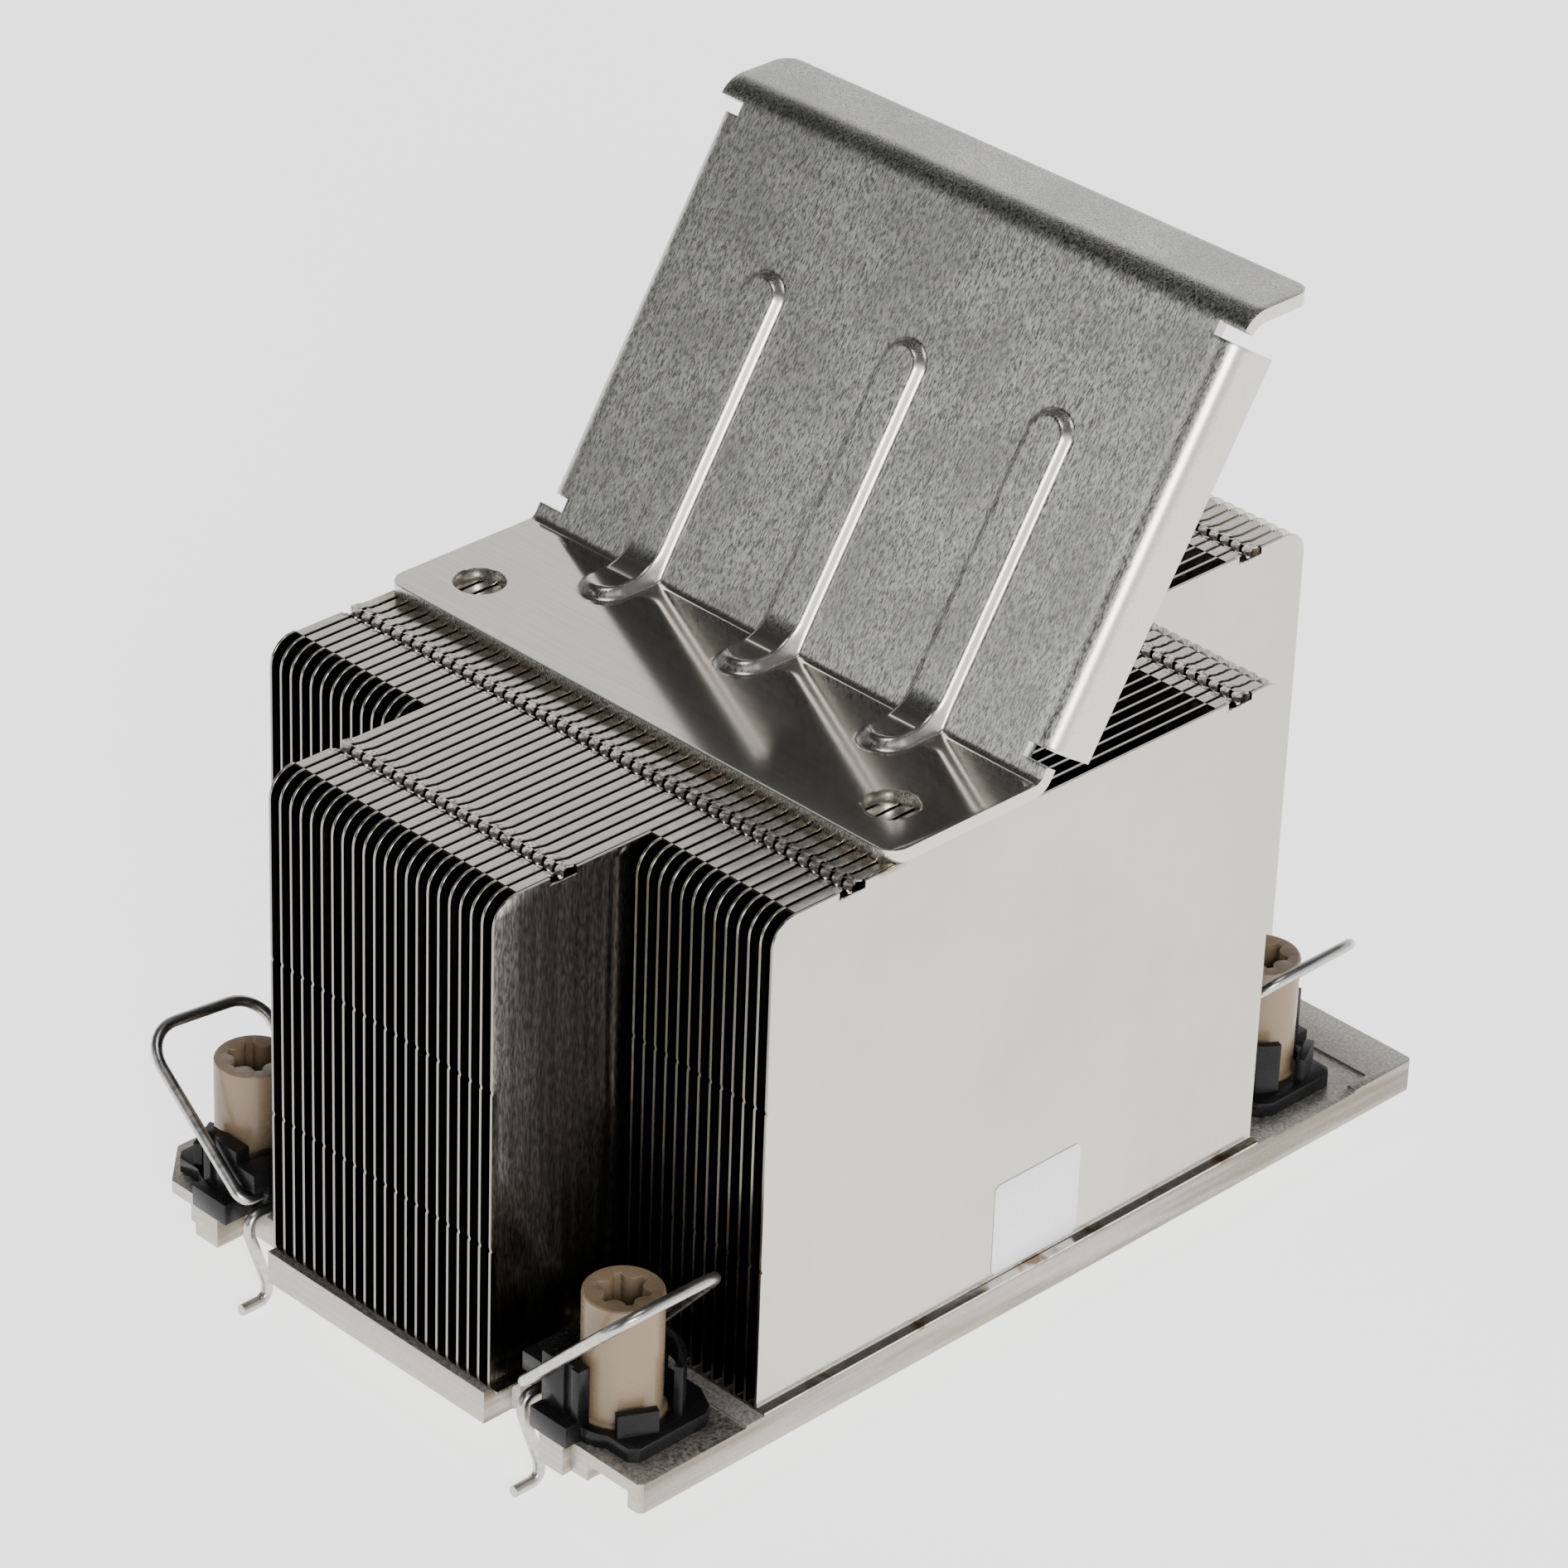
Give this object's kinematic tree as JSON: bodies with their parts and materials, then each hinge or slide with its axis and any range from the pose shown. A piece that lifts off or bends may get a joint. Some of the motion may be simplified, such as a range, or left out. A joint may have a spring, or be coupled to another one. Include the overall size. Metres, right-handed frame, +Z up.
{
  "type": "passive server cpu heatsink",
  "caption": "Passive server CPU heatsink: base plate with a soldered stack of interlocked sheet fins, folded top bracket, captive corner nuts and swinging wire bails.",
  "frame": {"origin": "centre of the plate's flat underside, where it meets the processor", "axes": "+X across the fins, +Y along the fins towards the rear end, +Z up through the fin stack"},
  "size_m": [0.078, 0.1202, 0.1134],
  "materials": {
    "plate_metal": "satin, milled, with a blasted top",
    "bracket_steel": "satin nickel plate with a faint grain",
    "fin_sheet": "satin rolled sheet",
    "label_paper": "matte, blank",
    "retainer_plastic": "satin moulded",
    "nut_plastic": "glossy moulded",
    "bail_wire": "drawn stainless wire"
  },
  "bodies": {
    "heatsink": {"base_plate": "plate_metal", "bracket": "bracket_steel", "label": "label_paper", "fin_left_01": "fin_sheet", "fin_left_02": "fin_sheet", "fin_left_03": "fin_sheet", "fin_left_04": "fin_sheet", "fin_left_05": "fin_sheet", "fin_left_06": "fin_sheet", "fin_left_07": "fin_sheet", "fin_left_08": "fin_sheet", "fin_left_09": "fin_sheet", "fin_left_10": "fin_sheet", "fin_left_11": "fin_sheet", "fin_left_12": "fin_sheet", "fin_left_13": "fin_sheet", "fins_centre_01": "fin_sheet", "fins_centre_02": "fin_sheet", "fins_centre_03": "fin_sheet", "fins_centre_04": "fin_sheet", "fins_centre_05": "fin_sheet", "fins_centre_06": "fin_sheet", "fins_centre_07": "fin_sheet", "fins_centre_08": "fin_sheet", "fins_centre_09": "fin_sheet", "fins_centre_10": "fin_sheet", "fins_centre_11": "fin_sheet", "fin_right_01": "fin_sheet", "fin_right_02": "fin_sheet", "fin_right_03": "fin_sheet", "fin_right_04": "fin_sheet", "fin_right_05": "fin_sheet", "fin_right_06": "fin_sheet", "fin_right_07": "fin_sheet", "fin_right_08": "fin_sheet", "fin_right_09": "fin_sheet", "fin_right_10": "fin_sheet", "fin_right_11": "fin_sheet", "fin_right_12": "fin_sheet", "fin_right_13": "fin_sheet", "retainer_front_left": "retainer_plastic", "retainer_front_right": "retainer_plastic", "retainer_rear_left": "retainer_plastic", "retainer_rear_right": "retainer_plastic"},
    "nut_front_left": {"nut_front_left": "nut_plastic"},
    "bail_front_left": {"bail_front_left": "bail_wire"},
    "nut_front_right": {"nut_front_right": "nut_plastic"},
    "bail_front_right": {"bail_front_right": "bail_wire"},
    "nut_rear_left": {"nut_rear_left": "nut_plastic"},
    "bail_rear_left": {"bail_rear_left": "bail_wire"},
    "nut_rear_right": {"nut_rear_right": "nut_plastic"},
    "bail_rear_right": {"bail_rear_right": "bail_wire"}
  },
  "joints": [
    {"name": "nut_front_left_spin", "type": "hinge", "parent": "heatsink", "child": "nut_front_left", "pos_m": [-0.0287, -0.0521, 0.004], "axis": [0, 0, 1], "continuous": true},
    {"name": "bail_front_left_swing", "type": "hinge", "parent": "heatsink", "child": "bail_front_left", "pos_m": [-0.0215, -0.0521, 0.0052], "axis": [0, 1, 0], "range_deg": [-27, 27]},
    {"name": "nut_front_right_spin", "type": "hinge", "parent": "heatsink", "child": "nut_front_right", "pos_m": [0.0287, -0.0521, 0.004], "axis": [0, 0, 1], "continuous": true},
    {"name": "bail_front_right_swing", "type": "hinge", "parent": "heatsink", "child": "bail_front_right", "pos_m": [0.0215, -0.0521, 0.0052], "axis": [0, -1, 0], "range_deg": [-33, 21]},
    {"name": "nut_rear_left_spin", "type": "hinge", "parent": "heatsink", "child": "nut_rear_left", "pos_m": [-0.0287, 0.0438, 0.004], "axis": [0, 0, 1], "continuous": true},
    {"name": "bail_rear_left_swing", "type": "hinge", "parent": "heatsink", "child": "bail_rear_left", "pos_m": [-0.0215, 0.0438, 0.0052], "axis": [0, 1, 0], "range_deg": [-30, 24]},
    {"name": "nut_rear_right_spin", "type": "hinge", "parent": "heatsink", "child": "nut_rear_right", "pos_m": [0.0287, 0.0438, 0.004], "axis": [0, 0, 1], "continuous": true},
    {"name": "bail_rear_right_swing", "type": "hinge", "parent": "heatsink", "child": "bail_rear_right", "pos_m": [0.0215, 0.0438, 0.0052], "axis": [0, -1, 0], "range_deg": [-32, 22]}
  ]
}
